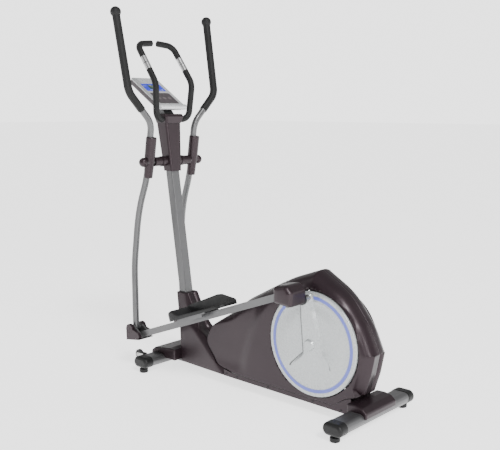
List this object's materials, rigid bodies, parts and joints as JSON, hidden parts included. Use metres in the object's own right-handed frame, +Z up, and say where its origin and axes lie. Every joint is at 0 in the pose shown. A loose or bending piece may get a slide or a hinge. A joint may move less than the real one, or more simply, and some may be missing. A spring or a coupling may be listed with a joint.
{
  "type": "elliptical trainer",
  "caption": "Rear-drive elliptical trainer with swinging arm handles, foot trays on pedal arms, a shrouded crank drive, a fixed grip bar, a console and a wheeled base.",
  "frame": {"origin": "on the floor, under the middle of the machine's box", "axes": "+Z up; +X towards the drive end, so the user faces -X; -Y is the user's left"},
  "size_m": [1.3916, 0.612, 1.677],
  "materials": {
    "shroud_gloss": "glossy metallic dark aubergine-brown moulding",
    "frame_silver": "satin grey-silver paint",
    "disc_silver": "light silver moulded plastic",
    "ring_blue": "periwinkle blue film ring",
    "foam_black": "fine-pored black foam",
    "black_plastic": "textured black moulding",
    "console_silver": "light silver satin moulding",
    "console_dark": "dark brown-grey moulding",
    "display": "blue display pane",
    "key_rubber": "satin silver keys",
    "plate_steel": "brushed stainless plates",
    "zinc_steel": "zinc-plated steel",
    "cast": "machined cast iron",
    "wheel_black": "hard black rubber",
    "belt_black": "ribbed black belt"
  },
  "bodies": {
    "frame": {"main_frame": "frame_silver", "mast_tube": "frame_silver", "front_stabilizer": "frame_silver", "rear_stabilizer": "frame_silver", "stabilizer_end_caps": "black_plastic", "wheel_brackets": "zinc_steel", "front_bracket_cover": "shroud_gloss", "rear_bracket_cover": "shroud_gloss", "front_cover": "shroud_gloss", "skirt_strips": "shroud_gloss", "shroud_screws": "black_plastic", "mast_cover": "shroud_gloss", "pivot_axle": "zinc_steel", "pivot_collars": "shroud_gloss", "handlebar_tube": "frame_silver", "handlebar_clamp": "shroud_gloss", "handlebar_grips": "foam_black", "pulse_plates": "plate_steel", "console_back": "console_dark", "console_front": "console_silver", "display_window": "display", "console_bracket": "frame_silver", "crank_bearings": "zinc_steel", "drive_belt": "belt_black", "magnetic_brake": "zinc_steel", "power_inlet": "black_plastic", "side_shroud_left": "shroud_gloss", "side_shroud_right": "shroud_gloss"},
    "crank": {"crank_axle": "zinc_steel", "crank_arms": "zinc_steel", "crank_disc_left": "disc_silver", "crank_disc_right": "disc_silver", "disc_rings": "ring_blue", "drive_pulley": "black_plastic"},
    "flywheel": {"flywheel": "cast"},
    "swing_left": {"swing_tube_left": "frame_silver", "pivot_sleeve_left": "shroud_gloss", "swing_grip_left": "foam_black"},
    "pedal_left": {"pedal_arm_left": "frame_silver", "joint_cover_left": "shroud_gloss", "hub_cover_left": "shroud_gloss", "hub_bearing_left": "black_plastic", "footplate_left": "black_plastic"},
    "wheel_left": {"transport_wheel_left": "wheel_black"},
    "front_foot_left": {"front_foot_left": "black_plastic"},
    "rear_foot_left": {"rear_foot_left": "black_plastic"},
    "swing_right": {"swing_tube_right": "frame_silver", "pivot_sleeve_right": "shroud_gloss", "swing_grip_right": "foam_black"},
    "pedal_right": {"pedal_arm_right": "frame_silver", "joint_cover_right": "shroud_gloss", "hub_cover_right": "shroud_gloss", "hub_bearing_right": "black_plastic", "footplate_right": "black_plastic"},
    "wheel_right": {"transport_wheel_right": "wheel_black"},
    "front_foot_right": {"front_foot_right": "black_plastic"},
    "rear_foot_right": {"rear_foot_right": "black_plastic"},
    "key_down": {"key_down": "key_rubber"},
    "key_enter": {"key_enter": "key_rubber"},
    "key_up": {"key_up": "key_rubber"}
  },
  "joints": [
    {"name": "crank_spin", "type": "hinge", "parent": "frame", "child": "crank", "pos_m": [0.40624, 0, 0.292], "axis": [0, 1, 0], "continuous": true},
    {"name": "flywheel_spin", "type": "hinge", "parent": "frame", "child": "flywheel", "pos_m": [0.21424, 0, 0.228], "axis": [0, 1, 0], "continuous": true},
    {"name": "swing_left_hinge", "type": "hinge", "parent": "frame", "child": "swing_left", "pos_m": [-0.49476, 0, 0.99], "axis": [0, 1, 0], "range_deg": [-13, 13]},
    {"name": "swing_right_hinge", "type": "hinge", "parent": "frame", "child": "swing_right", "pos_m": [-0.49476, 0, 0.99], "axis": [0, 1, 0], "range_deg": [-13, 13]},
    {"name": "pedal_left_hinge", "type": "hinge", "parent": "swing_left", "child": "pedal_left", "pos_m": [-0.58776, -0.155, 0.196], "axis": [0, 1, 0], "range_deg": [-13, 13]},
    {"name": "pedal_right_hinge", "type": "hinge", "parent": "swing_right", "child": "pedal_right", "pos_m": [-0.58776, 0.155, 0.196], "axis": [0, 1, 0], "range_deg": [-13, 13]},
    {"name": "wheel_left_spin", "type": "hinge", "parent": "frame", "child": "wheel_left", "pos_m": [-0.57176, -0.15, 0.066], "axis": [0, 1, 0], "continuous": true},
    {"name": "wheel_right_spin", "type": "hinge", "parent": "frame", "child": "wheel_right", "pos_m": [-0.57176, 0.15, 0.066], "axis": [0, 1, 0], "continuous": true},
    {"name": "front_foot_left_screw", "type": "hinge", "parent": "frame", "child": "front_foot_left", "pos_m": [-0.50076, -0.186, 0], "axis": [0, 0, 1], "continuous": true},
    {"name": "front_foot_right_screw", "type": "hinge", "parent": "frame", "child": "front_foot_right", "pos_m": [-0.50076, 0.186, 0], "axis": [0, 0, 1], "continuous": true},
    {"name": "rear_foot_left_screw", "type": "hinge", "parent": "frame", "child": "rear_foot_left", "pos_m": [0.64424, -0.24, 0], "axis": [0, 0, 1], "continuous": true},
    {"name": "rear_foot_right_screw", "type": "hinge", "parent": "frame", "child": "rear_foot_right", "pos_m": [0.64424, 0.24, 0], "axis": [0, 0, 1], "continuous": true},
    {"name": "key_down_press", "type": "slide", "parent": "frame", "child": "key_down", "axis": [-0.5446, 0, -0.8387], "range_m": [0, 0.0015], "stiffness_N_per_m": 400},
    {"name": "key_enter_press", "type": "slide", "parent": "frame", "child": "key_enter", "axis": [-0.5446, 0, -0.8387], "range_m": [0, 0.0015], "stiffness_N_per_m": 400},
    {"name": "key_up_press", "type": "slide", "parent": "frame", "child": "key_up", "axis": [-0.5446, 0, -0.8387], "range_m": [0, 0.0015], "stiffness_N_per_m": 400}
  ],
  "couplings": [
    {"joint": "flywheel_spin", "follows": "crank_spin", "ratio": 5},
    {"joint": "swing_right_hinge", "follows": "swing_left_hinge", "ratio": -1},
    {"joint": "pedal_left_hinge", "follows": "swing_left_hinge", "ratio": -1},
    {"joint": "pedal_right_hinge", "follows": "swing_left_hinge", "ratio": 1}
  ]
}
